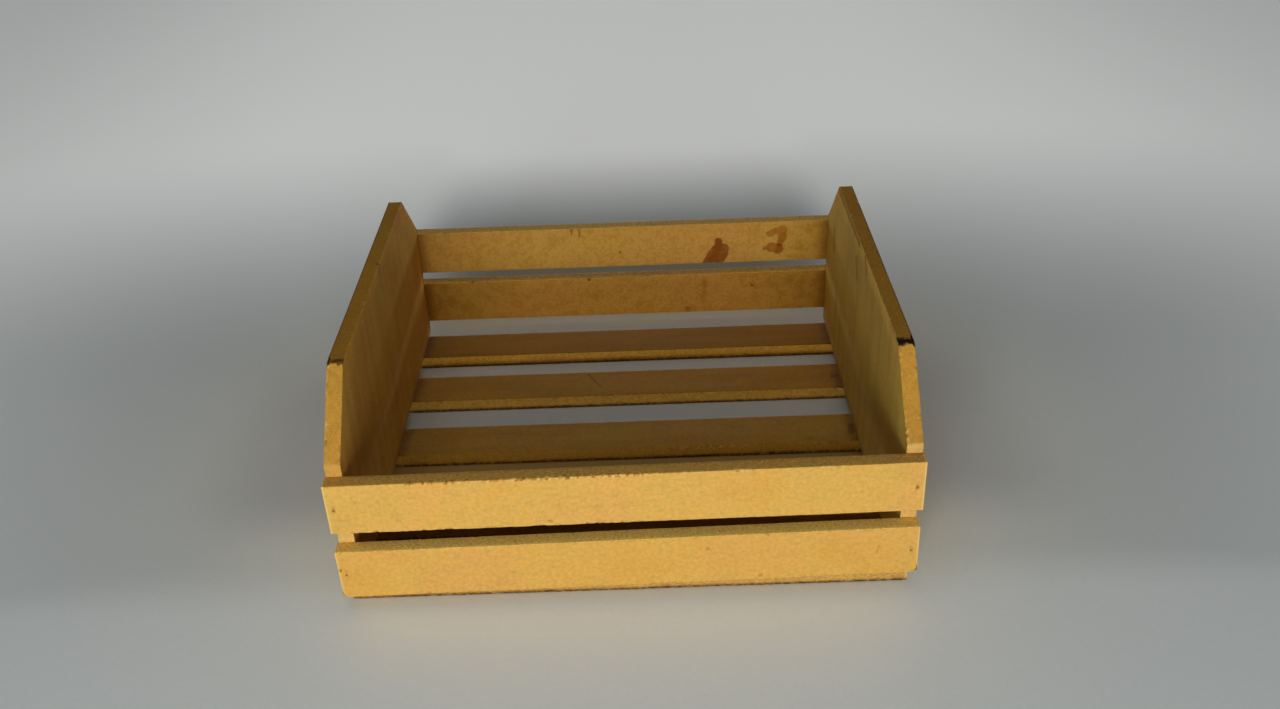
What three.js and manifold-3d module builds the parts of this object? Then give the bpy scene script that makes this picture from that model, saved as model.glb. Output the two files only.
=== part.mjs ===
// Slatted storage crate: two end panels with clipped top corners, joined by slats that are nailed on.
// Millimetres, +Z up. It stands on z = 0, centred on x = 0 and y = 0, with its front towards -Y.
import * as THREE from 'three';
import { mergeVertices } from 'three/addons/utils/BufferGeometryUtils.js';
import Module from 'manifold-3d';

const wasm = await Module();
wasm.setup();

// End panels
const INNER_WIDTH = 300; // clear span between the two panels
const PANEL_THICKNESS = 9;
const PANEL_DEPTH = 290; // front edge to back edge
const SHOULDER_RUN = 40; // the sloping corner cut, along the top edge
const SHOULDER_RISE = 40; // the same cut, down the upright edge

// Slats, all sawn to one width
const SLAT_WIDTH = 32;
const WALL_SLAT_THICKNESS = 9; // sawn from the panels' board
const BOTTOM_SLAT_THICKNESS = 9;
const WALL_SLAT_OVERHANG = 0.7; // past the outer face of each panel
const BOTTOM_SLAT_INSET = 1.75; // short of the outer face of each panel

// Front slats, from the panels' bottom edge upwards
const FRONT_RISE = 3; // bottom edge of the panels to the lower slat
const FRONT_GAP = 12.1; // between the two slats
const FRONT_HEADROOM = 5.9; // upper slat to the foot of the sloping cut
const FRONT_LOWER_TILT = 0.8; // degrees; the slats were nailed on by eye, right end high
const FRONT_UPPER_TILT = 0.5;

// Back slats, from the panels' bottom edge upwards
const BACK_RISE = 8.2;
const BACK_GAP = 9;

// Bottom slats, from the front edge of the panels backwards
const BOTTOM_SLAT_COUNT = 5;
const BOTTOM_FRONT_SETBACK = 0; // front slat to the panels' front edge
const BOTTOM_BACK_SETBACK = 8.9; // back slat to the panels' back edge
const BOTTOM_DRIFT = { 2: -12, 3: 1.1, 4: 3 }; // hand-set slats that lie this far behind the even pitch

// Brads, one in each slat end, driven into the panels' edges with their heads set below the surface
const BRAD_LENGTH = 20;
const BRAD_DIAMETER = 1.2;
const BRAD_POINT = 2;
const BRAD_HEAD_DIAMETER = 1.7;
const BRAD_HEAD_HEIGHT = 0.8;
const BRAD_SET = 0.6; // head below the slat's face
const BRAD_STAGGER = 1; // off the middle of the panel's thickness, so that crossing brads miss each other
const BRAD_CLEARANCE = 0.3;
const BRAD_SIDES = 10;

const ARRIS = 0.4; // eased edge on every board
const CUT_MARGIN = 1; // how far a cutter runs past the face that it opens

const EDGE_HEIGHT = FRONT_RISE + 2 * SLAT_WIDTH + FRONT_GAP + FRONT_HEADROOM;
const PANEL_HEIGHT = EDGE_HEIGHT + SHOULDER_RISE;
const PANEL_MIDDLE = INNER_WIDTH / 2 + PANEL_THICKNESS / 2;
const OUTER_WIDTH = INNER_WIDTH + 2 * PANEL_THICKNESS;
const WALL_SLAT_LENGTH = OUTER_WIDTH + 2 * WALL_SLAT_OVERHANG;
const BOTTOM_SLAT_LENGTH = OUTER_WIDTH - 2 * BOTTOM_SLAT_INSET;
const WALL_BRAD_LINE = PANEL_MIDDLE + BRAD_STAGGER;
const BOTTOM_BRAD_LINE = PANEL_MIDDLE - BRAD_STAGGER;
const SIDES = { left: -1, right: 1 };

// A slat's seat is at z = 0 in its own frame; these turns about X bring it to its wall.
const FACING_FRONT = Math.PI / 2;
const FACING_BACK = -Math.PI / 2;
const FACING_DOWN = Math.PI;

const fibreboard = () => new THREE.MeshStandardMaterial({ color: 0xcf9f54, roughness: 0.6, metalness: 0 });
const bradSteel = () => new THREE.MeshStandardMaterial({ color: 0x5a4a38, roughness: 0.55, metalness: 0.8 });

function solidOf(geometry) {
  const bare = geometry.clone();
  bare.deleteAttribute('normal');
  bare.deleteAttribute('uv');
  const merged = mergeVertices(bare);
  const vertProperties = new Float32Array(merged.attributes.position.array);
  const triVerts = new Uint32Array(merged.index.array);
  return new wasm.Manifold(new wasm.Mesh({ numProp: 3, vertProperties, triVerts }));
}

function geometryOf(solid) {
  const { vertProperties, triVerts } = solid.getMesh();
  const geometry = new THREE.BufferGeometry();
  geometry.setAttribute('position', new THREE.BufferAttribute(vertProperties, 3));
  geometry.setIndex(new THREE.BufferAttribute(triVerts, 1));
  geometry.computeVertexNormals();
  return geometry;
}

// A flat board with eased edges: the outline lies in XY, and the thickness runs from z = 0 upwards.
// The outline is given inside the eased edge, which the bevel then adds all round.
function board(outline, thickness) {
  const geometry = new THREE.ExtrudeGeometry(new THREE.Shape(outline), {
    depth: thickness - 2 * ARRIS,
    bevelThickness: ARRIS,
    bevelSize: ARRIS,
    bevelSegments: 1,
  });
  return geometry.translate(0, 0, ARRIS);
}

function slatBoard(length, thickness) {
  const x = length / 2 - ARRIS;
  const y = SLAT_WIDTH / 2 - ARRIS;
  const corners = [[-x, -y], [x, -y], [x, y], [-x, y]];
  return board(corners.map(([u, v]) => new THREE.Vector2(u, v)), thickness);
}

// The panel's outline, half its depth on each side of the middle; the bevel keeps each edge's direction,
// so the sloping cuts are drawn in by the arris measured along their own normal.
function panelBoard() {
  const slope = Math.hypot(SHOULDER_RUN, SHOULDER_RISE);
  const y = PANEL_DEPTH / 2 - ARRIS;
  const top = PANEL_HEIGHT - ARRIS;
  const shoulderZ = EDGE_HEIGHT - ARRIS * (slope - SHOULDER_RISE) / SHOULDER_RUN;
  const shoulderY = PANEL_DEPTH / 2 - SHOULDER_RUN - ARRIS * (slope - SHOULDER_RUN) / SHOULDER_RISE;
  const half = [[y, ARRIS], [y, shoulderZ], [shoulderY, top]];
  const mirrored = half.map(([u, v]) => [-u, v]).reverse();
  return board([...half, ...mirrored].map(([u, v]) => new THREE.Vector2(u, v)), PANEL_THICKNESS);
}

// A brad along Z, its head's top at z = 0 and its point down. Grown by the clearance, and with its head
// carried on upwards, the same profile is the hole that it sits in.
function bradForm(grow, headTop) {
  const shank = BRAD_DIAMETER / 2 + grow;
  const head = BRAD_HEAD_DIAMETER / 2 + grow;
  const pointTop = BRAD_POINT - BRAD_LENGTH;
  const pointLength = BRAD_POINT * shank / (BRAD_DIAMETER / 2);
  const headFoot = -BRAD_HEAD_HEIGHT - grow;
  const profile = [
    [0, pointTop - pointLength],
    [shank, pointTop],
    [shank, headFoot],
    [head, headFoot],
    [head, headTop],
    [0, headTop],
  ];
  const points = profile.map(([radius, height]) => new THREE.Vector2(radius, height));
  return new THREE.LatheGeometry(points, BRAD_SIDES).rotateX(Math.PI / 2);
}

const bradHole = () => bradForm(BRAD_CLEARANCE, BRAD_SET + CUT_MARGIN);

function namedMesh(name, geometry, material) {
  const mesh = new THREE.Mesh(geometry, material);
  mesh.name = name;
  return mesh;
}

// One slat and its two brads, in a group that stands at the middle of the slat's seat.
function nailedSlat({ name, length, thickness, bradLine, turn, tilt = 0, seat }) {
  const group = new THREE.Group();
  group.position.set(...seat);
  group.rotation.set(turn, 0, THREE.MathUtils.degToRad(tilt));
  let solid = solidOf(slatBoard(length, thickness));
  for (const [side, sign] of Object.entries(SIDES)) {
    const brad = namedMesh(`${name}_brad_${side}`, geometryOf(solidOf(bradForm(0, 0))), bradSteel());
    brad.position.set(sign * bradLine, 0, thickness - BRAD_SET);
    brad.updateMatrix();
    brad.userData.side = side;
    solid = solid.subtract(solidOf(bradHole().applyMatrix4(brad.matrix)));
    group.add(brad);
  }
  group.add(namedMesh(`${name}_slat`, geometryOf(solid), fibreboard()));
  return group;
}

function wallSlat(name, turn, edgeY, lowerEdge, tilt) {
  const middle = BOTTOM_SLAT_THICKNESS + lowerEdge + SLAT_WIDTH / 2;
  return nailedSlat({
    name,
    turn,
    tilt,
    length: WALL_SLAT_LENGTH,
    thickness: WALL_SLAT_THICKNESS,
    bradLine: WALL_BRAD_LINE,
    seat: [0, edgeY, middle],
  });
}

function bottomSlat(number) {
  const first = -PANEL_DEPTH / 2 + BOTTOM_FRONT_SETBACK + SLAT_WIDTH / 2;
  const last = PANEL_DEPTH / 2 - BOTTOM_BACK_SETBACK - SLAT_WIDTH / 2;
  const pitch = (last - first) / (BOTTOM_SLAT_COUNT - 1);
  const y = first + (number - 1) * pitch + (BOTTOM_DRIFT[number] ?? 0);
  return nailedSlat({
    name: `bottom_${number}`,
    turn: FACING_DOWN,
    length: BOTTOM_SLAT_LENGTH,
    thickness: BOTTOM_SLAT_THICKNESS,
    bradLine: BOTTOM_BRAD_LINE,
    seat: [0, y, BOTTOM_SLAT_THICKNESS],
  });
}

// An end panel stands on the bottom slats, with a hole for each brad that is driven into its edges.
function endPanel(side, brads) {
  const place = new THREE.Matrix4().makeBasis(
    new THREE.Vector3(0, 1, 0),
    new THREE.Vector3(0, 0, 1),
    new THREE.Vector3(1, 0, 0),
  );
  place.setPosition(SIDES[side] * PANEL_MIDDLE - PANEL_THICKNESS / 2, 0, BOTTOM_SLAT_THICKNESS);
  let solid = solidOf(panelBoard());
  const toPanel = place.clone().invert();
  for (const brad of brads.filter((one) => one.userData.side === side)) {
    const inPanel = toPanel.clone().multiply(brad.matrixWorld);
    solid = solid.subtract(solidOf(bradHole().applyMatrix4(inPanel)));
  }
  const panel = namedMesh(`${side}_end_panel`, geometryOf(solid), fibreboard());
  panel.applyMatrix4(place);
  return panel;
}

const crate = new THREE.Group();
const frontY = -PANEL_DEPTH / 2;
const backY = PANEL_DEPTH / 2;
crate.add(wallSlat('front_lower', FACING_FRONT, frontY, FRONT_RISE, FRONT_LOWER_TILT));
crate.add(wallSlat('front_upper', FACING_FRONT, frontY, FRONT_RISE + SLAT_WIDTH + FRONT_GAP, FRONT_UPPER_TILT));
crate.add(wallSlat('back_lower', FACING_BACK, backY, BACK_RISE));
crate.add(wallSlat('back_upper', FACING_BACK, backY, BACK_RISE + SLAT_WIDTH + BACK_GAP));
for (let number = 1; number <= BOTTOM_SLAT_COUNT; number += 1) crate.add(bottomSlat(number));

crate.updateMatrixWorld(true);
const brads = [];
crate.traverse((node) => {
  if (node.userData.side) brads.push(node);
});
for (const side of Object.keys(SIDES)) crate.add(endPanel(side, brads));

export default crate;
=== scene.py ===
"""Looks of a small storage crate: varnished fibreboard with worn, sawn edges, nailed with brads."""
import math
from typing import NamedTuple

import bpy
from mathutils import Matrix, Vector, noise


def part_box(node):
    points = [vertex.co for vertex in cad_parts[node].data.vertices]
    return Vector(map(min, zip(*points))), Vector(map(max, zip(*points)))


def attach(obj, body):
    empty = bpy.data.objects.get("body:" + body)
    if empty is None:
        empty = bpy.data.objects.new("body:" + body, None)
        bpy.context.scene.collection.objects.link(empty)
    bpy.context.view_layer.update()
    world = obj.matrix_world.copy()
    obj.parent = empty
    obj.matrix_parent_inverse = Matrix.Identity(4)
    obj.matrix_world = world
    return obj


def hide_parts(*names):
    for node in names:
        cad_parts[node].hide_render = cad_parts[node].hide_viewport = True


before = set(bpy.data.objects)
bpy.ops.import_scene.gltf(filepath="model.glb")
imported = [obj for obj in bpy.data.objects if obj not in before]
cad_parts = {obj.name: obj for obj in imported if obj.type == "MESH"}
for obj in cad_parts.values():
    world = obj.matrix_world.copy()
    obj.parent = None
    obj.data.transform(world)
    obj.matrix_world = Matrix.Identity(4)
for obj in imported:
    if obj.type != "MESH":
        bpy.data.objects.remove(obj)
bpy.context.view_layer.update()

MM = 0.001
QUARTER_TURN = math.radians(90)
FORWARD = Vector((0, -1, 0))
BACKWARD = Vector((0, 1, 0))
UP = Vector((0, 0, 1))
DOWN = Vector((0, 0, -1))

# The photograph's frame and the camera that took it
IMAGE_WIDTH = 1280
FOCAL_PIXELS = 1237.8
SENSOR_WIDTH = 36.0
CAMERA_PLACE = Vector((13.9, -678.0, 478.0)) * MM
CAMERA_PITCH = 31.13    # degrees below the horizon
CAMERA_YAW = -0.33
CAMERA_ROLL = -2.16


def extent(node):
    low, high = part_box(node)
    return high - low


def middle(node):
    low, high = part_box(node)
    return (low + high) / 2


# Sizes of the boards
LEVEL_SLAT = "back_lower_slat"      # the front slats lie askew, so their boxes are larger than they are
SLAT_WIDTH = extent(LEVEL_SLAT).z
PANEL_DEPTH = extent("left_end_panel").y
PANEL_HEIGHT = extent("left_end_panel").z
PANEL_THICKNESS = extent("left_end_panel").x
INNER_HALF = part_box("right_end_panel")[0].x
SHOULDER = 40 * MM                  # run and rise of a panel's sloping corner cuts
EDGE_HEIGHT = PANEL_HEIGHT - SHOULDER
SHOULDER_TIP = Vector((SHOULDER - PANEL_DEPTH / 2, PANEL_HEIGHT))


# Shading: sockets that do arithmetic, and one method that adds any node

class Value:
    """An output socket. Arithmetic on it adds Math nodes."""

    def __init__(self, finish, socket):
        self.finish = finish
        self.socket = socket

    def maths(self, operation, *operands):
        return self.finish.node("ShaderNodeMath", {"operation": operation}, dict(enumerate(operands)))

    def __add__(self, other):
        return self.maths("ADD", self, other)

    def __sub__(self, other):
        return self.maths("SUBTRACT", self, other)

    def __rsub__(self, other):
        return self.maths("SUBTRACT", other, self)

    def __mul__(self, other):
        return self.maths("MULTIPLY", self, other)

    def __truediv__(self, other):
        return self.maths("DIVIDE", self, other)

    def __abs__(self):
        return self.maths("ABSOLUTE", self)

    __radd__ = __add__
    __rmul__ = __mul__

    def most(self, other):
        return self.maths("MAXIMUM", self, other)

    def root(self):
        return self.maths("SQRT", self)

    def swing(self):
        """Noise as a swing to both sides of 0."""
        return self - 0.5

    def rise(self, low, high):
        """0 at low, 1 at high and smooth between. Low may be the larger, which turns it round."""
        sockets = {"Value": self, "From Min": low, "From Max": high}
        return self.finish.node("ShaderNodeMapRange", {"interpolation_type": "SMOOTHSTEP"}, sockets)

    def band(self, start, full, fade, stop):
        """0 up to start and from stop on, 1 from full to fade."""
        return self.rise(start, full) * self.rise(stop, fade)

    def past(self, start, length):
        """0 up to start, then 1 more for each length."""
        return (self - start).most(0.0) / length

    def held(self):
        """Kept from 0 to 1."""
        return self.finish.node("ShaderNodeClamp", None, {"Value": self})

    def parts(self):
        return [self.finish.node("ShaderNodeSeparateXYZ", None, {"Vector": self}, out) for out in range(3)]


class Finish:
    """The nodes of a material or of the world."""

    def __init__(self, owner):
        owner.use_nodes = True
        self.owner = owner
        self.tree = owner.node_tree
        self.tree.nodes.clear()

    def node(self, kind, settings=None, sockets=None, out=0):
        """Adds a node: its settings first, then values or links for its sockets. Gives one output."""
        made = self.tree.nodes.new(kind)
        for name, setting in (settings or {}).items():
            setattr(made, name, setting)
        for key, given in (sockets or {}).items():
            if isinstance(given, Value):
                self.tree.links.new(given.socket, made.inputs[key])
            else:
                made.inputs[key].default_value = given
        return Value(self, made.outputs[out]) if made.outputs else None

    def shifted(self, place, step):
        return self.node("ShaderNodeVectorMath", {"operation": "ADD"}, {0: place, 1: step})

    def scaled(self, tint, amount):
        return self.node("ShaderNodeVectorMath", {"operation": "SCALE"}, {0: tint, "Scale": amount})

    def mixed(self, amount, first, second):
        """First where amount is 0, second where it is 1."""
        return self.node("ShaderNodeMix", {"data_type": "RGBA"}, {0: amount, 6: first, 7: second}, 2)

    def tinted(self, amount, first, tint):
        """First, multiplied by a tint where amount is 1."""
        settings = {"data_type": "RGBA", "blend_type": "MULTIPLY"}
        return self.node("ShaderNodeMix", settings, {0: amount, 6: first, 7: tint}, 2)

    def noise(self, place, size, detail=3):
        """Noise from 0 to 1 whose lumps are about this size, in metres."""
        return self.node("ShaderNodeTexNoise", None, {"Vector": place, "Scale": 1 / size, "Detail": detail})

    def stretched(self, place, angle, ratio):
        """Place turned by an angle in the board's plane and squeezed along it, so that noise draws lines."""
        sockets = {"Vector": place, "Rotation": (0, 0, math.radians(angle)), "Scale": (ratio, 1, 1)}
        return self.node("ShaderNodeMapping", {"vector_type": "TEXTURE"}, sockets)

    def surface(self, sockets):
        shader = self.node("ShaderNodeBsdfPrincipled", None, sockets)
        self.node("ShaderNodeOutputMaterial", None, {"Surface": shader})
        return self.owner


def colour(red, green, blue):
    """Linear colour of 8-bit display values."""
    levels = [level / 255 for level in (red, green, blue)]
    linear = [part / 12.92 if part <= 0.04045 else ((part + 0.055) / 1.055) ** 2.4 for part in levels]
    return (*linear, 1.0)


# Fibreboard

GOLD = colour(221, 175, 87)
AMBER = colour(199, 144, 58)    # where the varnish has sunk in
BLUSH = colour(222, 167, 90)    # warmer patches of the faces
SAWN = colour(191, 135, 40)     # sawn edges, which drink the varnish
BARE = colour(234, 198, 120)    # fibre that has lost its varnish
SOOT = colour(28, 20, 12)

# Tints that multiply the colour below them
TOP_DIRT_AND_SHADE = (0.74, 0.7, 0.5, 1)             # upward edges: dirt from hands, and painted shade where little light falls from above
DARK_DIRT_AND_SHADE = (0.5, 0.4, 0.28, 1)              # varnish and dirt, and painted corner shade, along the joints; also small dark marks
STREAK_AND_SHADE = (0.7, 0.66, 0.48, 1)           # runs, hand marks and small stains on the inner faces; also painted shade on the panels' upper backs
# dirt on the undersides, and painted contact shade along the bottom slats' feet
FOOT_DIRT_AND_SHADE = (0.36, 0.29, 0.2, 1)
TORN = (0.5, 0.4, 0.26, 1)              # dark fibre in a torn edge
CORNER_SHADE = (0.62, 0.57, 0.36, 1)          # painted shade towards the ends of the back slats, where the end panels keep light off
SPILL = (0.46, 0.26, 0.17, 1)           # dark red-brown stain
HALF_DRY_SPILL = (0.6, 0.37, 0.2, 1)
THIN_SPILL = (0.68, 0.47, 0.23, 1)
SYRUP = (0.72, 0.52, 0.28, 1)           # faint orange stain
SPECK_AND_SHADE = (0.3, 0.22, 0.15, 1)            # dirt in a dent; also painted shade low in the left panel's front corner

# Grain, from the largest lumps to the finest, and how far each one changes the tone
WARM_PATCH = 55 * MM
CLOUD = 34 * MM
CLOUD_TONE = 0.3
MOTTLE = 7 * MM
MOTTLE_TONE = 0.36
SPECKLE = 2.2 * MM
SPECKLE_TONE = 0.4
FUZZ = 0.6 * MM                 # of the sawn edges
FUZZ_STRETCH = 2.5
FUZZ_SHADE = 0.35
FIBRE = 0.25 * MM
FIBRE_STRETCH = 7
FIBRE_ANGLES = (12, 71, 133)
FELT_TONE = 0.4
RUN = 12 * MM                   # width of the streaks
RUN_STRETCH = 7
STRAY = 1.8 * MM                # how far a mark's outline strays
STRAY_SIZE = 3 * MM
SEED_STEP = Vector((0.37, 0.19, 0.53))


def depth_inside(x, y, stroke):
    """How far a place lies inside a round-ended stroke; negative outside it."""
    x0, y0, x1, y1, radius = (size * MM for size in stroke)
    run, climb = x1 - x0, y1 - y0
    across, rise = x - x0, y - y0
    if run or climb:
        along = ((across * run + rise * climb) / (run * run + climb * climb)).held()
        across, rise = across - along * run, rise - along * climb
    return radius - (across * across + rise * rise).root()


class Mark:
    """A stain or scratch on a board's face. Its strokes are x, y to x, y and a radius, in millimetres."""

    def __init__(self, tint, *strokes, strength=1.0, soft=0.8, rim=0.0):
        self.tint = tint
        self.strokes = strokes
        self.strength = strength
        self.soft = soft    # width of its edge, in millimetres
        self.rim = rim      # how much darker it has dried along its edge

    def spread(self, x, y):
        """1 inside any of the strokes, falling to 0 over the soft edge."""
        deepest = depth_inside(x, y, self.strokes[0])
        for stroke in self.strokes[1:]:
            deepest = deepest.most(depth_inside(x, y, stroke))
        edge = 0.5 * self.soft * MM
        return deepest.rise(-edge, edge)


class Look(NamedTuple):
    """What sets one board's finish apart from the next one's."""
    seed: int
    face: int               # side that the marks are on, 1 for +Z
    inner: int              # side that faces into the crate
    seams: object           # gives a mask of the dirt and painted shade along the joints
    marks: tuple = ()
    dirt_and_shade: tuple = None      # tint of the inner face: dirt, and painted shade where less light reaches inside
    top_dirt_and_shade: float = 0.0      # dirt and painted shade on the top edge
    pale: float = 0.2       # bare fibre showing on the sawn edges
    edges: tuple = None     # painted light and shade on the sawn edges, by how much light reaches them
    foot: float = None      # level of the underside, whose lowest millimetres get dirt and painted contact shade
    tips: float = None      # where a slat's bare ends begin, from its middle
    fresh: tuple = None     # bare fibre on a panel's front upright edge, between and above its slats
    streaks: tuple = None   # strength and direction of the runs on the inner face
    blotches: float = 0.0   # strength of the small stains on the inner face
    scorch: object = None   # gives a mask of the soot


class Fibreboard(Finish):
    """Varnished fibreboard: felted faces, fuzzy sawn edges, bare fibre where the edges are worn."""

    def __init__(self, name, look):
        super().__init__(bpy.data.materials.new(name))
        self.look = look
        place = self.node("ShaderNodeTexCoord", None, None, "Object")
        self.x, self.y, self.z = place.parts()
        _, self.up, through = self.node("ShaderNodeTexCoord", None, None, "Normal").parts()
        self.sawn = abs(through).rise(0.85, 0.5)
        self.marked = (through * look.face).rise(0.4, 0.8)
        self.inside = (through * look.inner).rise(0.4, 0.8)
        self.worn = self.node("ShaderNodeAttribute", {"attribute_name": "wear"}, None, "Fac")

        self.grain = self.shifted(place, SEED_STEP * look.seed)
        self.cloud = self.noise(self.grain, CLOUD)
        self.mottle = self.noise(self.grain, MOTTLE)
        self.speckle = self.noise(self.grain, SPECKLE, 2)
        lays = [self.stretched(self.grain, angle, FIBRE_STRETCH) for angle in FIBRE_ANGLES]
        self.felt = sum(self.noise(lay, FIBRE, 1) for lay in lays) / len(lays)
        self.fuzz = self.noise(self.stretched(self.grain, 0, FUZZ_STRETCH), FUZZ)
        self.paint = GOLD

    def tint(self, amount, tint):
        self.paint = self.tinted(amount, self.paint, tint)

    def cover(self, amount, paint):
        self.paint = self.mixed(amount, self.paint, paint)

    def varnish(self):
        """Golden faces with sunk and warmer patches, and sawn edges, some of them bare, some with painted
        light and shade.
        """
        look = self.look
        self.cover(0.44 * self.cloud.rise(0.44, 0.76) + 0.36 * self.mottle.rise(0.44, 0.74), AMBER)
        self.cover(0.6 * self.noise(self.grain, WARM_PATCH, 1).rise(0.42, 0.66), BLUSH)
        self.cover(0.8 * (1 - look.pale) * self.sawn, SAWN)
        self.cover(look.pale * self.sawn * self.fuzz.rise(0.45, 0.7), BARE)
        if look.fresh:
            between, above = look.fresh
            upright = (self.x + PANEL_DEPTH / 2).rise(1.2 * MM, 0.6 * MM)
            bared = between + (above - between) * self.y.rise(55 * MM, 75 * MM)
            self.cover(upright * self.sawn * bared, BARE)
        tone = (1 + CLOUD_TONE * self.cloud.swing() + MOTTLE_TONE * self.mottle.swing()
                + SPECKLE_TONE * self.speckle.swing() + FELT_TONE * self.felt.swing())
        self.paint = self.scaled(self.paint, tone - FUZZ_SHADE * self.sawn * self.fuzz.rise(0.5, 0.25))
        # Painted light and shade on the sawn edges
        if look.edges:
            self.tint(self.sawn, look.edges)

    def dirt_and_shade(self):
        """Dirt from use and painted shade, on the inner face, on the top edge and along the joints."""
        look = self.look
        # Inner face: dirt and painted shade in one tint
        if look.dirt_and_shade:
            self.tint(self.inside, look.dirt_and_shade)
        # Top edges: dirt, and painted shade where little light falls from above
        if look.top_dirt_and_shade:
            patchy = (0.75 + 0.8 * self.mottle.swing()).held()
            self.tint(look.top_dirt_and_shade * self.sawn * self.up.rise(0.75, 0.95) * patchy, TOP_DIRT_AND_SHADE)
        if look.streaks:
            strength, direction = look.streaks
            runs = self.noise(self.stretched(self.grain, direction, RUN_STRETCH), RUN).rise(0.36, 0.68)
            self.tint(strength * self.inside * runs, STREAK_AND_SHADE)
        if look.blotches:
            spots = (0.4 * self.mottle + 0.6 * self.speckle).rise(0.4, 0.6)
            self.tint(look.blotches * self.inside * spots, STREAK_AND_SHADE)
        # Joints: dirt and painted shade in the inner corners
        self.tint(look.seams(self) * self.inside, DARK_DIRT_AND_SHADE)

    def stain(self):
        """Draws the marks, with straying outlines. Gives where stains with a rim have left a gloss."""
        x = self.x + STRAY * self.noise(self.grain, STRAY_SIZE).swing()
        y = self.y + STRAY * self.noise(self.shifted(self.grain, SEED_STEP), STRAY_SIZE).swing()
        uneven = 0.8 + 0.2 * self.mottle.rise(0.3, 0.6)
        gloss = 0.0
        for mark in self.look.marks:
            spot = mark.spread(x, y) * self.marked
            self.tint(mark.strength * spot * uneven, mark.tint)
            if mark.rim:
                self.tint(4 * mark.rim * spot * (1 - spot), mark.tint)
                gloss = spot + gloss
        return gloss

    def wear(self):
        """Torn and bare fibre on worn edges, bare slat ends, a dirty underside with painted contact shade at
        its foot, and scorched tips.
        """
        look = self.look
        self.tint(self.worn * self.speckle.rise(0.56, 0.44), TORN)
        self.cover(0.8 * self.worn * self.speckle.rise(0.5, 0.62), BARE)
        if look.tips:
            self.cover(0.6 * (abs(self.x) - look.tips).rise(-0.4 * MM, 0.4 * MM), BARE)
        # Foot of a bottom slat: dirt and painted contact shade
        if look.foot is not None:
            height = self.z - look.foot + 2 * MM * self.mottle.swing()
            self.tint(height.rise(3.4 * MM, 1 * MM), FOOT_DIRT_AND_SHADE)
        if look.scorch:
            self.cover(look.scorch(self).held(), SOOT)

    def material(self):
        self.varnish()
        self.dirt_and_shade()
        gloss = self.stain()
        self.wear()
        rough = 0.68 + 0.2 * self.mottle.swing() + 0.15 * self.sawn + 0.1 * self.worn - 0.2 * gloss
        height = self.felt + 0.5 * self.speckle + 2 * self.sawn * self.fuzz
        bump = self.node("ShaderNodeBump", None, {"Strength": 0.3, "Distance": 0.25 * MM, "Height": height})
        return self.surface({"Base Color": self.paint, "Roughness": rough, "Specular IOR Level": 0.07,
                             "Normal": bump})


WIRE = colour(186, 146, 80)
RUSTED = colour(146, 106, 54)
RUST_SIZE = 0.5 * MM


def brad_steel():
    """Oxidised wire with a little bare steel left."""
    finish = Finish(bpy.data.materials.new("oxidised_brad_steel"))
    place = finish.node("ShaderNodeTexCoord", None, None, "Object")
    rust = finish.noise(place, RUST_SIZE).rise(0.4, 0.65)
    paint = finish.mixed(rust, WIRE, RUSTED)
    return finish.surface({"Base Color": paint, "Metallic": 0.2, "Roughness": 0.5 + 0.3 * rust})


# Worn edges: every arris is eased, rubbed and nicked, and here and there chipped or frayed

EASED = 0.35 * MM       # arris of an untouched edge
RUB = 0.35 * MM         # more where hands have rubbed it
NICK = 1.3 * MM         # sharp little losses
NICKS_ABOVE = 0.42      # noise below this makes no nick
FRAY = 1.7 * MM         # torn fibres, where a saw has ripped the edge
MOST_WORN = 1.35 * MM   # no arris is rounder than this
WEAR_FULL = 0.9 * MM    # an arris this much rounder than eased shows bare fibre all over
SAW_WANDER = 0.16 * MM  # how far a sawn edge strays inwards

# Each board and each edge has its own lane of noise, so that no two wear alike
LANE_STEP = 7.31
OFF_GRID = 0.5          # noise is 0 at whole numbers
BOARD_LANES = 20
SLAT_ARRIS_LANES = 11
SLAT_EDGE_LANES = 3
PANEL_ARRIS_LANES = 5


class Ripple(NamedTuple):
    """How one kind of wear comes and goes along an edge."""
    length: float
    lane: float = 0.0   # keeps it apart from the other kinds


RUBBING = Ripple(16 * MM)
CRUMBLING = Ripple(1.5 * MM, 0.25)
NICKING = Ripple(2.7 * MM, 0.5)
TUFTS = Ripple(2.2 * MM, 0.75)
RIPS = Ripple(6 * MM, 0.9)
SLAT_WANDER = Ripple(22 * MM)
PANEL_WANDER = Ripple(9 * MM)


class Chip(NamedTuple):
    """A loss on an arris: where it is, how far it reaches each way and how deep it goes, in millimetres."""
    place: object       # distance along a slat from its middle, or x and y on a panel
    reach: float
    depth: float


class Fray(NamedTuple):
    """A frayed stretch of a slat's arris: its two ends, in millimetres, and how badly it is torn."""
    start: float
    stop: float
    torn: float


def ragged(distance, lane, ripple):
    """Smooth noise from -1 to 1 along an edge."""
    return noise.noise(Vector((distance / ripple.length, LANE_STEP * (lane + ripple.lane), OFF_GRID)))


def wander(distance, lane, ripple):
    """How far a sawn edge strays inwards at a distance along it."""
    return SAW_WANDER * (0.5 + 0.5 * ragged(distance, lane, ripple))


def chip_loss(away, chip):
    """What a chip takes off an arris this far away from its middle."""
    share = away / (chip.reach * MM)
    return chip.depth * MM * max(0.0, 1 - share * share)


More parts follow.
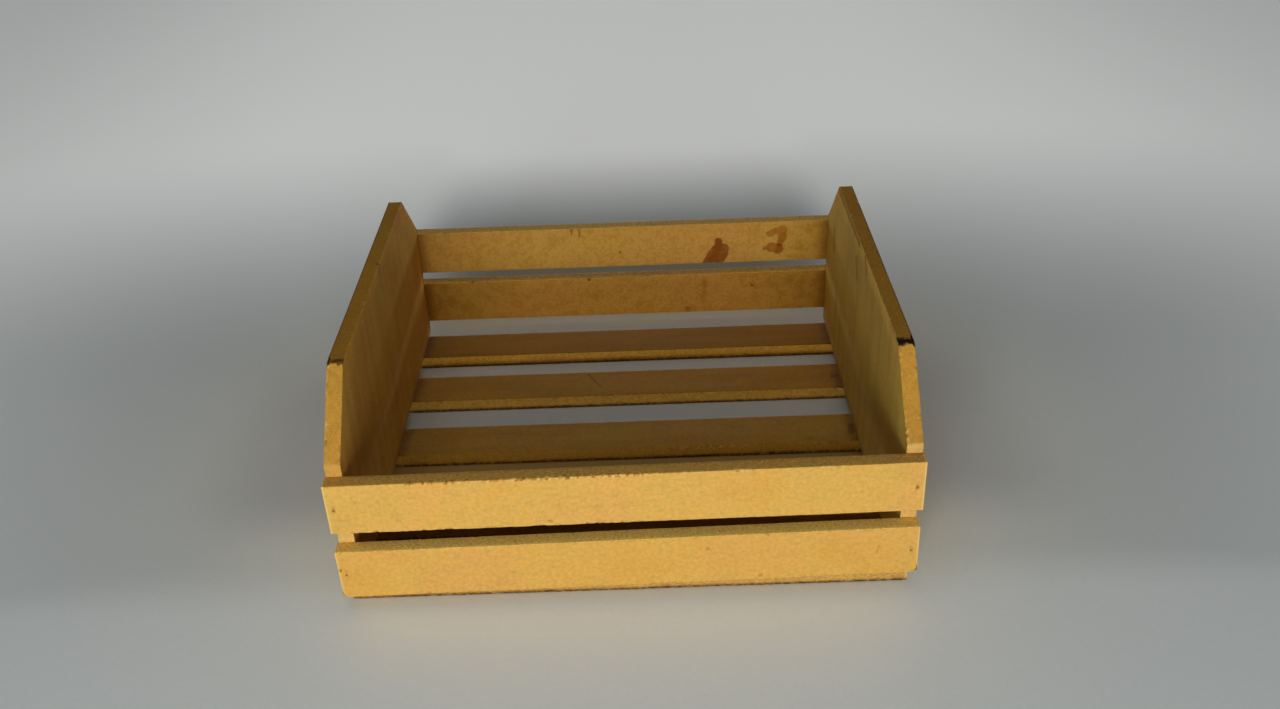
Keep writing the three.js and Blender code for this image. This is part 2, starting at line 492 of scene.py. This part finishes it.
def arris(distance, lane, loss, frayed=0.0):
    """Radius of a worn arris at a distance along it, with what chips and a ripping saw have taken."""
    rubbed = EASED + RUB * max(0.0, ragged(distance, lane, RUBBING))
    nicked = NICK * max(0.0, ragged(distance, lane, NICKING) - NICKS_ABOVE)
    tufted = max(0.0, ragged(distance, lane, TUFTS))
    ripped = 0.4 * max(0.0, ragged(distance, lane, RIPS) + 0.2)
    torn = frayed * FRAY * (tufted + ripped)
    chipped = loss * (0.8 + 0.5 * ragged(distance, lane, CRUMBLING))
    return min(MOST_WORN, rubbed + nicked + torn + chipped)


def bareness(radius):
    """Share of bare fibre on an arris that has worn to a radius."""
    return min(1.0, max(0.0, (radius - EASED) / WEAR_FULL))


# Board meshes: rings of points, stacked along a slat or through a panel

ARC_STEPS = 3
STATION = 1.0 * MM                      # spacing of the points along an edge
FINE_STATION = 0.5 * MM                 # and on a slat that has frayed
END_EASE = 0.4 * MM
ARRISES = {"high_face": (1, 1), "low_face": (-1, 1), "low_back": (-1, -1), "high_back": (1, -1)}
FACE_LINES = (0.9, 0.3, -0.3, -0.9)     # points across a slat's face, in shares of half its width
EDGE_LINES = (0.5, -0.5)                # across its edge, in shares of half its thickness
RIM_LINES = (-0.6, -0.2, 0.2, 0.6)      # and across a panel's edge
PANEL_CORNER = 1.3 * MM
CORNER_STEPS = 4
FACE_SUPPORT = 0.25 * MM
LEFT_FACE = -1
RIGHT_FACE = 1


def tube_faces(count, levels, first=0):
    """Faces round stacked rings of points and across their ends. Each ring runs anticlockwise."""
    last = first + count * (levels - 1)
    faces = []
    for start in range(first, last, count):
        for step in range(count):
            near, far = start + step, start + (step + 1) % count
            faces.append((near, far, far + count, near + count))
    faces.append(tuple(reversed(range(first, first + count))))
    faces.append(tuple(range(last, last + count)))
    return faces


def skin(name, rings, wear):
    """A closed mesh through rings of points, with the wear at each point."""
    mesh = bpy.data.meshes.new(name)
    points = [point for ring in rings for point in ring]
    mesh.from_pydata(points, [], tube_faces(len(rings[0]), len(rings)))
    mesh.attributes.new("wear", "FLOAT", "POINT").data.foreach_set("value", wear)
    mesh.shade_smooth()
    return mesh


def slat_stations(length, spacing):
    """Places along a slat, and how far its eased ends draw the section in there."""
    inner = length / 2 - END_EASE
    count = round(2 * inner / spacing)
    plain = [(inner * (2 * step / count - 1), 0.0) for step in range(count + 1)]
    bends = [QUARTER_TURN * step / ARC_STEPS for step in range(1, ARC_STEPS + 1)]
    end = [(inner + END_EASE * math.sin(bend), END_EASE * (1 - math.cos(bend))) for bend in bends]
    return [(-x, inset) for x, inset in reversed(end)] + plain + end


def slat_mesh(name, length, thickness, lane, chips, rounded, frays):
    """A slat along X, its width along Y and its thickness along Z, centred on the origin."""
    half_thickness = thickness / 2
    rings, wear = [], []
    for x, inset in slat_stations(length, FINE_STATION if frays else STATION):
        reach = {}
        for sign, edge in ((1, "high"), (-1, "low")):
            corner = rounded.get((edge, "right" if x > 0 else "left"), 0.0) * MM
            past = max(0.0, abs(x) - (length / 2 - corner))
            cut = corner - math.sqrt(max(0.0, corner * corner - past * past))
            stray = wander(x, lane + SLAT_EDGE_LANES * sign, SLAT_WANDER)
            reach[sign] = SLAT_WIDTH / 2 - inset - cut - stray
        ring = []
        for quarter, (edge, (high, front)) in enumerate(ARRISES.items()):
            frayed = sum(fray.torn for fray in frays.get(edge, ()) if fray.start * MM < x < fray.stop * MM)
            loss = sum(chip_loss(abs(x - chip.place * MM), chip) for chip in chips.get(edge, ()))
            radius = arris(x, lane + SLAT_ARRIS_LANES * quarter, loss, frayed)
            centre_y = high * (reach[high] - radius)
            centre_z = front * (half_thickness - inset - radius)
            for step in range(ARC_STEPS + 1):
                angle = QUARTER_TURN * (quarter + step / ARC_STEPS)
                ring.append((x, centre_y + radius * math.cos(angle), centre_z + radius * math.sin(angle)))
                wear.append(bareness(radius))
            if high == front:
                level = front * (half_thickness - inset)
                lines = [(x, share * high * SLAT_WIDTH / 2, level) for share in FACE_LINES]
            else:
                lines = [(x, high * reach[high], share * front * half_thickness) for share in EDGE_LINES]
            ring += lines
            wear += [0.0] * len(lines)
        rings.append(ring)
    return skin(name, rings, wear)


def panel_outline():
    """Stations round a panel, anticlockwise: a point on its edge, the way out and the distance run."""
    half = PANEL_DEPTH / 2
    right = [Vector((half, 0)), Vector((half, EDGE_HEIGHT)), Vector((half - SHOULDER, PANEL_HEIGHT))]
    corners = right + [Vector((-point.x, point.y)) for point in reversed(right)]
    stations, run = [], 0.0
    for index, corner in enumerate(corners):
        before = corners[index - 1]
        after, beyond = (corners[(index + step) % len(corners)] for step in (1, 2))
        into, onward = (corner - before).normalized(), (after - corner).normalized()
        turn = -into.angle_signed(onward)
        setback = PANEL_CORNER * math.tan(turn / 2)
        centre = corner - into * setback + Vector((-into.y, into.x)) * PANEL_CORNER
        for step in range(CORNER_STEPS + 1):
            angle = turn * step / CORNER_STEPS
            way = Matrix.Rotation(angle, 2) @ Vector((into.y, -into.x))
            stations.append((centre + way * PANEL_CORNER, way, run + PANEL_CORNER * angle))
        run += PANEL_CORNER * turn

        next_turn = -onward.angle_signed((beyond - after).normalized())
        length = (after - corner).length - setback - PANEL_CORNER * math.tan(next_turn / 2)
        count = round(length / STATION)
        start = corner + onward * setback
        out = Vector((onward.y, -onward.x))
        for step in range(1, count):
            stations.append((start + onward * length * step / count, out, run + length * step / count))
        run += length
    return stations


def panel_arris(radius):
    """Points from a panel's face round to its edge: how far in from the outline and up from the middle."""
    half = PANEL_THICKNESS / 2
    bends = [QUARTER_TURN * step / ARC_STEPS for step in range(ARC_STEPS + 1)]
    arc = [(radius * (1 - math.sin(bend)), half - radius * (1 - math.cos(bend))) for bend in bends]
    return [(radius + FACE_SUPPORT, half)] + arc


def panel_mesh(name, lane, chips):
    """An end panel: depth along X, height along Y from its foot, thickness along Z about the middle."""
    half = PANEL_THICKNESS / 2
    columns, wear_columns = [], []
    for point, way, run in panel_outline():
        arcs, shares = {}, {}
        for face in (LEFT_FACE, RIGHT_FACE):
            loss = sum(chip_loss((point - Vector(chip.place) * MM).length, chip)
                       for chip in chips.get(face, ()))
            radius = min(arris(run, lane + PANEL_ARRIS_LANES * face, loss), PANEL_CORNER - FACE_SUPPORT)
            arcs[face] = panel_arris(radius)
            shares[face] = [0.0] + [bareness(radius)] * (ARC_STEPS + 1)
        column = [(inset, -height) for inset, height in arcs[LEFT_FACE]]
        column += [(wander(run, lane + line, PANEL_WANDER), line * half) for line in RIM_LINES]
        column += reversed(arcs[RIGHT_FACE])
        spots = [point - way * inset for inset, _ in column]
        columns.append([(spot.x, spot.y, height) for spot, (_, height) in zip(spots, column)])
        wear_columns.append(shares[LEFT_FACE] + [0.0] * len(RIM_LINES) + shares[RIGHT_FACE][::-1])
    rings = [list(ring) for ring in zip(*columns)]
    wear = [share for ring in zip(*wear_columns) for share in ring]
    return skin(name, rings, wear)


# Placing the boards and drilling them for their brads

PIT_RADIUS = 0.93 * MM      # the pit that a set head leaves
PIT_FOOT = 1.6 * MM         # below the slat's face
SHANK_HOLE = 0.75 * MM
HOLE_SIDES = 18
HOLE_MARGIN = 0.4 * MM
BARE_TIP = 1.1 * MM
SCUFFED_FEET = {edge: [Chip(0, 900, 0.9)] for edge in ("low_back", "high_back")}


class Wall(NamedTuple):
    """What the slats of one side of the crate have in common."""
    facing: Vector          # way that the face with the marks looks
    out: Vector             # way that the brads' heads look
    inner: int              # side that faces into the crate, 1 for the face with the marks
    slot: str
    streaks: tuple = None
    blotches: float = 0.0


WALLS = {
    "front": Wall(FORWARD, FORWARD, -1, "wall_slats"),
    "back": Wall(FORWARD, BACKWARD, 1, "wall_slats", blotches=0.8),
    "bottom": Wall(UP, DOWN, 1, "bottom_slats", streaks=(0.4, 0)),
}


def wall_of(name):
    return WALLS[name.split("_")[0]]


def brad_hole(brad):
    """Rings of points along the stepped hole round a brad, from its foot out."""
    out = wall_of(brad).out
    turns = [2 * math.pi * step / HOLE_SIDES for step in range(HOLE_SIDES)]
    sides = [Vector((math.cos(turn), math.sin(turn), 0)) for turn in turns]
    upright = out.to_track_quat("Z", "Y")
    half = max(extent(brad)) / 2
    head = middle(brad) + out * half
    foot = 2 * half + HOLE_MARGIN
    ledge = HOLE_MARGIN - PIT_FOOT
    profile = [(SHANK_HOLE, -foot), (SHANK_HOLE, ledge), (PIT_RADIUS, ledge), (PIT_RADIUS, PIT_FOOT)]
    return [[head + upright @ (side * radius + Vector((0, 0, level))) for side in sides]
            for radius, level in profile]


def drill(piece, brads):
    """Cuts the holes of the named brads out of a board."""
    to_board = piece.matrix_world.inverted()
    points, faces = [], []
    for brad in brads:
        rings = brad_hole(brad)
        faces += tube_faces(HOLE_SIDES, len(rings), len(points))
        points += [to_board @ point for ring in rings for point in ring]
    mesh = bpy.data.meshes.new("drill")
    mesh.from_pydata(points, [], faces)
    bit = bpy.data.objects.new("drill", mesh)
    bpy.context.scene.collection.objects.link(bit)
    bit.matrix_world = piece.matrix_world
    cut = piece.modifiers.new("brad_holes", "BOOLEAN")
    cut.object = bit
    cut.solver = "EXACT"
    bpy.context.view_layer.update()
    drilled = bpy.data.meshes.new_from_object(piece.evaluated_get(bpy.context.evaluated_depsgraph_get()))
    piece.modifiers.clear()
    piece.data = drilled
    bpy.data.objects.remove(bit)


def finished_board(node, mesh, place, look, brads):
    """Puts a finished board in place of its plain solid."""
    piece = bpy.data.objects.new(node + "_board", mesh)
    bpy.context.scene.collection.objects.link(piece)
    piece.matrix_world = place
    mesh.materials.append(Fibreboard(node + "_fibreboard", look).material())
    drill(piece, brads)
    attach(piece, "root")
    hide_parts(node)


def slat_seams(board):
    """Dirt and painted shade in the corners where a slat meets the end panels."""
    return 0.8 * (INNER_HALF - abs(board.x) + 6 * MM * board.mottle.swing()).rise(9 * MM, 0.0)


def slat(name, seed, marks=(), dirt_and_shade=None, top_dirt_and_shade=0.0, pale=0.2, edges=None,
         chips=None, rounded=None, frays=None):
    """One slat, lying the way that its two brads say."""
    node = name + "_slat"
    wall = wall_of(name)
    brads = [f"{name}_brad_{side}" for side in ("left", "right")]
    left, right = (middle(brad) for brad in brads)
    along = (right - left).normalized()
    turn = Matrix((along, wall.facing.cross(along), wall.facing)).transposed()
    place = Matrix.Translation(middle(node)) @ turn.to_4x4()
    if wall.facing == UP:
        length, _, thickness = extent(node)
        foot = -thickness / 2
    else:
        length, thickness, _ = extent(LEVEL_SLAT)
        foot = None
    mesh = slat_mesh(node + "_board", length, thickness, BOARD_LANES * seed,
                     chips or {}, rounded or {}, frays or {})
    look = Look(seed, face=1, inner=wall.inner, seams=slat_seams, marks=marks, dirt_and_shade=dirt_and_shade, top_dirt_and_shade=top_dirt_and_shade,
                pale=pale, edges=edges, foot=foot, tips=length / 2 - BARE_TIP, streaks=wall.streaks,
                blotches=wall.blotches)
    finished_board(node, mesh, place, look, brads)


def panel_seams(board):
    """Dirt and painted shade along the bottom slats and the upright edges, inside."""
    foot = (board.y + 5 * MM * board.mottle.swing()).rise(7 * MM, 0.0)
    ends = (PANEL_DEPTH / 2 - abs(board.x) + 6 * MM * board.mottle.swing()).rise(8 * MM, 0.0)
    return 0.7 * foot.most(ends)


def scorched(outer, depth, faint):
    """Soot on the front tip of a panel's top edge: a band with a ragged foot, and the outer arris behind."""
    def mask(board):
        back, above = board.x - SHOULDER_TIP.x, board.y - SHOULDER_TIP.y
        outwards = board.z * outer / PANEL_THICKNESS
        rim = outwards.rise(0.3, 0.5)
        frayed = 6 * MM * board.mottle.swing() + 4 * MM * board.speckle.swing()
        behind = (back - depth * MM - 4 * MM * rim + frayed).rise(1.6 * MM, -1 * MM)
        before = (back + 1.3 * MM + 1.2 * MM * rim - 0.6 * frayed).rise(-0.4 * MM, 0.4 * MM)
        on_edge = ((0 - back).most(0.0) + above).rise(-1.2 * MM, -0.3 * MM)
        band = behind * before * on_edge * (faint + (1 - faint) * rim)
        outer_line = outwards.rise(0.36, 0.46) * above.rise(-2 * MM, -1 * MM)
        return band + 0.55 * outer_line * (1 - behind)
    return mask


def end_panel(side, seed, inner, marks, dirt_and_shade, fresh, chips, scorch):
    """One end panel, standing on its bottom edge."""
    node = side + "_end_panel"
    low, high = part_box(node)
    centre = Vector(((low.x + high.x) / 2, (low.y + high.y) / 2, low.z))
    turn = Matrix((BACKWARD, UP, BACKWARD.cross(UP))).transposed()
    place = Matrix.Translation(centre) @ turn.to_4x4()
    brads = [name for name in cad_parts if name.endswith("_brad_" + side)]
    mesh = panel_mesh(node + "_board", BOARD_LANES * seed, chips)
    look = Look(seed, face=inner, inner=inner, seams=panel_seams, marks=marks, dirt_and_shade=dirt_and_shade, top_dirt_and_shade=0.8,
                pale=0.1, fresh=fresh, streaks=(0.42, 90), scorch=scorch)
    finished_board(node, mesh, place, look, brads)


# The crate

# Each board's inner-face tint and sawn-edge tint hold painted light and shade as well as dirt, set to how
# much light reaches that board
BOTTOM_DIRT_AND_SHADE = (0.74, 0.63, 0.46, 1)

slat("front_upper", 1, top_dirt_and_shade=0.1, pale=0.5,
     marks=[Mark(DARK_DIRT_AND_SHADE, (-145.2, 8.5, -143.6, 4.5, 0.5), strength=0.3),
            Mark(DARK_DIRT_AND_SHADE, (-41.5, -12.8, -40, -13, 1), strength=0.5)],
     chips={"high_face": [Chip(-40, 2.2, 0.9), Chip(-11, 2, 1.0), Chip(62.5, 6, 0.9)]},
     frays={"high_face": [Fray(-120, 10, 1.0)], "low_face": [Fray(-150, 30, 0.5)]})
# front_lower's sawn edges are painted lighter, for more light on its top edge
slat("front_lower", 2, pale=1.0, edges=(1.36, 1.54, 1.4, 1),
     marks=[Mark(SYRUP, (-150, 0, 150, 0, 40), strength=0.1),
            Mark(SPECK_AND_SHADE, (-158.6, 3.9, -158.4, 3.2, 0.8), strength=0.9),
            Mark(DARK_DIRT_AND_SHADE, (137.5, 4, 136.8, -1, 0.5), strength=0.4),
            Mark(DARK_DIRT_AND_SHADE, (44, 8, 44, 7, 1.2), strength=0.4),
            Mark(DARK_DIRT_AND_SHADE, (72.9, -13.7, 73, -13, 1), strength=0.5)],
     rounded={("low", "left"): 3.0, ("low", "right"): 4.6})
slat("back_lower", 3, dirt_and_shade=(0.77, 0.68, 0.48, 1), pale=0.6, edges=(1.15, 1.25, 1.2, 1),
     # painted shade at both ends, where the end panels keep light off
     marks=[Mark(CORNER_SHADE, (-160, 0, -160, 0, 28), strength=0.85, soft=60),
            Mark(CORNER_SHADE, (160, 0, 160, 0, 45), strength=0.75, soft=70),
            Mark(SPECK_AND_SHADE, (-26.8, 16, -26.8, 14.8, 1.1)),
            Mark(SYRUP, (60, 12, 59, -7, 2), strength=0.5, soft=3),
            Mark(SPILL, (46.9, -12.5, 47, -14, 2), strength=0.6, soft=2),
            Mark(SPILL, (95, 5.3, 95.5, 5, 1.2), strength=0.7)])
slat("back_upper", 4, dirt_and_shade=(0.77, 0.73, 0.6, 1), pale=0.8, edges=(1.05, 1.1, 1.1, 1),
     # painted shade at both ends, where the end panels keep light off
     marks=[Mark(CORNER_SHADE, (-160, 0, -160, 0, 18), strength=0.3, soft=40),
            Mark(CORNER_SHADE, (160, 0, 160, 0, 30), strength=0.8, soft=60),
            Mark(SPILL, (64.8, -17.5, 70.2, -7.5, 6.9), (69.8, -0.5, 70, 1.8, 2.6),
                 (73.4, -4.6, 73.5, -4.6, 4.2), soft=1.2, rim=0.5),
            Mark(THIN_SPILL, (107.4, 6.6, 109, 7.2, 2.1), (109, 7.2, 117, 10.2, 2.3),
                 (117.2, 9.8, 117.1, 2.2, 2.8), (116, 1, 115.4, -2, 2), soft=1.8, rim=0.4),
            Mark(HALF_DRY_SPILL, (104.2, -5, 108, -4.8, 1.5), (109.2, -4.6, 113, -5.2, 3.5),
                 (113.4, -5.6, 114, -5.6, 3.8), soft=1.4, rim=0.5),
            Mark(SPILL, (-38, 16, -37.5, 12, 0.8), (-32, 16, -32, 10, 0.8), strength=0.7),
            Mark(SPECK_AND_SHADE, (-2.8, -4, -2.8, -5, 0.9), strength=0.6)])
slat("bottom_1", 5, dirt_and_shade=BOTTOM_DIRT_AND_SHADE, pale=0.5, edges=(0.85, 0.91, 1.1, 1), chips=SCUFFED_FEET)
# bottom_2's sawn edges are painted dark, for the deep shade behind the front slats
slat("bottom_2", 6, dirt_and_shade=BOTTOM_DIRT_AND_SHADE, edges=(0.34, 0.24, 0.06, 1), chips=SCUFFED_FEET)
# bottom_3's inner tint and edges are painted darker, for the shade of the front slats
slat("bottom_3", 7, dirt_and_shade=(0.66, 0.63, 0.39, 1), edges=(0.65, 0.6, 0.4, 1), chips=SCUFFED_FEET,
     marks=[Mark(SPILL, (148, 2, 147, -6, 2.2), strength=0.6, soft=2),
            Mark(SPILL, (119, -11, 121, -11.5, 2.6), strength=0.25, soft=3)])
slat("bottom_4", 8, dirt_and_shade=(0.7, 0.62, 0.23, 1), edges=(1.15, 1.2, 1.2, 1), chips=SCUFFED_FEET,
     marks=[Mark(SPILL, (-28, 13, -18.7, -4.6, 0.7), strength=0.55),
            Mark(SPILL, (145, -1, 147, 0, 2.2), strength=0.5, soft=2)])
slat("bottom_5", 9, dirt_and_shade=(0.51, 0.43, 0.02, 1), edges=(1.3, 1.33, 1.1, 1), chips=SCUFFED_FEET)
end_panel("left", 10, RIGHT_FACE, dirt_and_shade=(0.94, 0.88, 0.62, 1), fresh=(0.55, 0.15),
          marks=[Mark(SPECK_AND_SHADE, (12, 123.5, 9, 121, 2), strength=0.6, soft=2),
                 Mark(STREAK_AND_SHADE, (-105, 122, 105, 122, 5), strength=0.8, soft=9),
                 # painted shade low in the front corner of the inner face
                 Mark(SPECK_AND_SHADE, (-130, 20, -110, 14, 16), strength=0.8, soft=14),
                 # painted shade on the upper back of the inner face
                 Mark(STREAK_AND_SHADE, (95, 118, 128, 90, 16), strength=0.6, soft=26)],
          chips={LEFT_FACE: [Chip((-128.9, 101.1), 3, 0.7), Chip((-136.2, 93.8), 2.5, 0.8),
                             Chip((-105, 125), 5, 1.0)],
                 RIGHT_FACE: [Chip((12, 125), 3.5, 1.0)]},
          scorch=scorched(LEFT_FACE, depth=2.2, faint=0.75))
end_panel("right", 11, LEFT_FACE, dirt_and_shade=(0.83, 0.93, 0.8, 1), fresh=(0.6, 0.5),
          marks=[Mark(DARK_DIRT_AND_SHADE, (115, 87, 112, 75, 2.6), strength=0.8, soft=5),
                 Mark(DARK_DIRT_AND_SHADE, (27, 108, 21.5, 99, 3), strength=0.65, soft=6),
                 Mark(DARK_DIRT_AND_SHADE, (0, 125, -7, 118, 2.6), strength=0.9, soft=4),
                 Mark(SPILL, (-105, 123.5, -80, 123.5, 1.6), strength=0.4, soft=3),
                 Mark(DARK_DIRT_AND_SHADE, (20, 122.7, 104, 122.7, 2.3), soft=2.5),
                 # painted shade on the upper back of the inner face
                 Mark(STREAK_AND_SHADE, (95, 118, 128, 90, 16), strength=0.55, soft=26)],
          chips={LEFT_FACE: [Chip((-140, 90), 6, 0.7), Chip((-105, 125), 4, 0.9)],
                 RIGHT_FACE: [Chip((-134.3, 95.7), 2.5, 0.8)]},
          scorch=scorched(RIGHT_FACE, depth=4.2, faint=1.0))

steel = brad_steel()
for name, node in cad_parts.items():
    if "_brad_" in name:
        node.data.materials.clear()
        node.data.materials.append(steel)


# Floor, light and camera

FLOOR_HALF = 8.0
FLOOR_DROP = 0.1 * MM
FLOOR_FLECK = 3 * MM
FLOOR_DULL = colour(226, 235, 234)
FLOOR_CLEAN = colour(234, 242, 241)
SKY_COLOUR = colour(250, 251, 255)
SKY_LIGHT = 0.03
BACKDROP_LIGHT = 1.1
LOOK_AT = Vector((0, 0, 70)) * MM

# What the camera sees on the floor; none of it lights the crate
PALE_STUDIO = (0.37, 0.37, 0.362, 1)    # added away from the crate
BOUNCED = 0.2                           # share of it that comes back under the back slats
BEFORE = 0.17                           # and in front of the crate
DIMMER_ASIDE = 0.3                      # and what is lost further out to the sides
SIDE_SHADE = (0.69, 0.7, 0.74, 1)       # tint close beside the crate
DEEP_SHADE = (0.68, 0.6, 0.49, 1)       # close behind its slats
WOOD_SHADE = (0.62, 0.37, 0.12, 1)      # against the middle bottom slat, where the wood round it lights it
LAMP_SHADE = (0.05, 0.05, 0.05, 1)      # below the front light, which would clip to white

# Where it sees them, in metres from the crate's middle
PAST_PANELS = (0.15, 0.2)
SHADE_BESIDE = (0.25, 0.75)             # where the crate's shade ends, and how far it takes to clear
SHADE_BEHIND = (0.294, 0.245)
SHADE_OFF_CORNERS = (0.1, 0.5)
DIM_SIDES = (0.25, 0.9, 1.2, 3.0)
BEFORE_CRATE = (-0.11, -0.16)
BELOW_LAMP = (-0.5, -1.4)
BACK_SLATS = 0.15
BOUNCE_WIDTH = 0.03


def seen_directly(finish):
    """1 for what the camera sees, also in a mirror or through glass, 0 for light on the crate."""
    camera, glossy, through = (finish.node("ShaderNodeLightPath", None, None, f"Is {kind} Ray")
                               for kind in ("Camera", "Glossy", "Transmission"))
    return camera.most(glossy).most(through)


def pale_floor():
    """A pale floor with the crate's soft shade round it."""
    finish = Finish(bpy.data.materials.new("pale_floor"))
    place = finish.node("ShaderNodeTexCoord", None, None, "Object")
    x, y = place.parts()[:2]
    out = abs(x)
    seen = seen_directly(finish)

    aside = out.rise(*PAST_PANELS)
    beside = out.past(*SHADE_BESIDE)
    behind = y.past(*SHADE_BEHIND)
    beyond = behind + aside * (y.past(*SHADE_OFF_CORNERS) - behind)
    clear = (beside * beside + beyond * beyond).root().rise(0.0, 1.0)
    clear = clear * (1 - DIMMER_ASIDE * out.band(*DIM_SIDES))
    before = BEFORE * y.rise(*BEFORE_CRATE)
    near_lamp = y.rise(*BELOW_LAMP)
    under_back = (1 - aside) * abs(y - BACK_SLATS).rise(BOUNCE_WIDTH, 0.0)
    paleness = clear.most(near_lamp).most(before) + BOUNCED * under_back
    pale = finish.scaled(PALE_STUDIO[:3], paleness * seen)

    paint = finish.mixed(finish.noise(place, FLOOR_FLECK), FLOOR_DULL, FLOOR_CLEAN)
    shades = {
        LAMP_SHADE: near_lamp,
        SIDE_SHADE: out.band(0.14, 0.17, 0.2, 0.3) * y.band(-0.11, -0.04, 0.05, 0.17),
        WOOD_SHADE: out.rise(0.16, 0.155) * y.band(-0.037, -0.029, 0.0, 0.01),
        DEEP_SHADE: out.rise(0.18, 0.1) * y.band(0.15, 0.25, 0.25, 0.38),
    }
    for tint, mask in shades.items():
        paint = finish.tinted(mask * seen, paint, tint)
    return finish.surface({"Base Color": paint, "Roughness": 0.9, "Specular IOR Level": 0.2,
                           "Emission Color": pale, "Emission Strength": 1.0})


def studio_world():
    """Faint light from all round; the camera sees it about as pale as the far floor."""
    finish = Finish(bpy.data.worlds.new("studio"))
    around = finish.node("ShaderNodeBackground", None, {"Color": SKY_COLOUR, "Strength": SKY_LIGHT})
    backdrop = finish.node("ShaderNodeBackground", None, {"Color": PALE_STUDIO, "Strength": BACKDROP_LIGHT})
    sky = finish.node("ShaderNodeMixShader", None, {0: seen_directly(finish), 1: around, 2: backdrop})
    finish.node("ShaderNodeOutputWorld", None, {"Surface": sky})
    return finish.owner


def soft_light(name, place, width, height, level, receivers=None):
    """A soft box facing the crate. At level 1 it alone would show a surface as bright as its colour."""
    lamp = bpy.data.lights.new(name, "AREA")
    lamp.shape = "RECTANGLE"
    lamp.size = width
    lamp.size_y = height
    towards = LOOK_AT - Vector(place)
    lamp.energy = level * (math.pi * towards.length) ** 2
    light = bpy.data.objects.new(name, lamp)
    light.location = place
    light.rotation_euler = towards.to_track_quat("-Z", "Y").to_euler()
    light.visible_camera = False
    light.light_linking.receiver_collection = receivers
    bpy.context.scene.collection.objects.link(light)


floor_corners = [(-FLOOR_HALF, -FLOOR_HALF), (FLOOR_HALF, -FLOOR_HALF),
                 (FLOOR_HALF, FLOOR_HALF), (-FLOOR_HALF, FLOOR_HALF)]
floor_mesh = bpy.data.meshes.new("floor")
floor_mesh.from_pydata([(x, y, -FLOOR_DROP) for x, y in floor_corners], [], [(0, 1, 2, 3)])
floor_mesh.materials.append(pale_floor())
floor = bpy.data.objects.new("floor", floor_mesh)
bpy.context.scene.collection.objects.link(floor)

# The side and back lights graze the floor, so they light all but it
all_but_floor = bpy.data.collections.new("all_but_floor")
all_but_floor.objects.link(floor)
all_but_floor.collection_objects[0].light_linking.link_state = "EXCLUDE"
soft_light("front_light", (-0.15, -1.8, 0.4), width=1.0, height=0.5, level=0.71)
soft_light("top_light", (-0.1, -0.3, 2.0), width=1.2, height=1.2, level=0.11)
soft_light("left_light", (-2.4, 0.1, 0.12), width=1.2, height=0.2, level=0.3, receivers=all_but_floor)
soft_light("right_light", (2.4, 0.1, 0.12), width=1.2, height=0.2, level=0.3, receivers=all_but_floor)
soft_light("back_light", (0.0, 2.8, 0.1), width=0.3, height=0.16, level=0.4, receivers=all_but_floor)
bpy.context.scene.world = studio_world()

lens = bpy.data.cameras.new("camera")
lens.sensor_width = SENSOR_WIDTH
lens.lens = FOCAL_PIXELS * SENSOR_WIDTH / IMAGE_WIDTH
camera = bpy.data.objects.new("camera", lens)
turns = ((-CAMERA_YAW, "Z"), (90 - CAMERA_PITCH, "X"), (CAMERA_ROLL, "Z"))
facing = Matrix.Identity(4)
for angle, axis in turns:
    facing = facing @ Matrix.Rotation(math.radians(angle), 4, axis)
camera.matrix_world = Matrix.Translation(CAMERA_PLACE) @ facing
bpy.context.scene.collection.objects.link(camera)
bpy.context.scene.camera = camera
bpy.context.scene.view_settings.view_transform = "Standard"
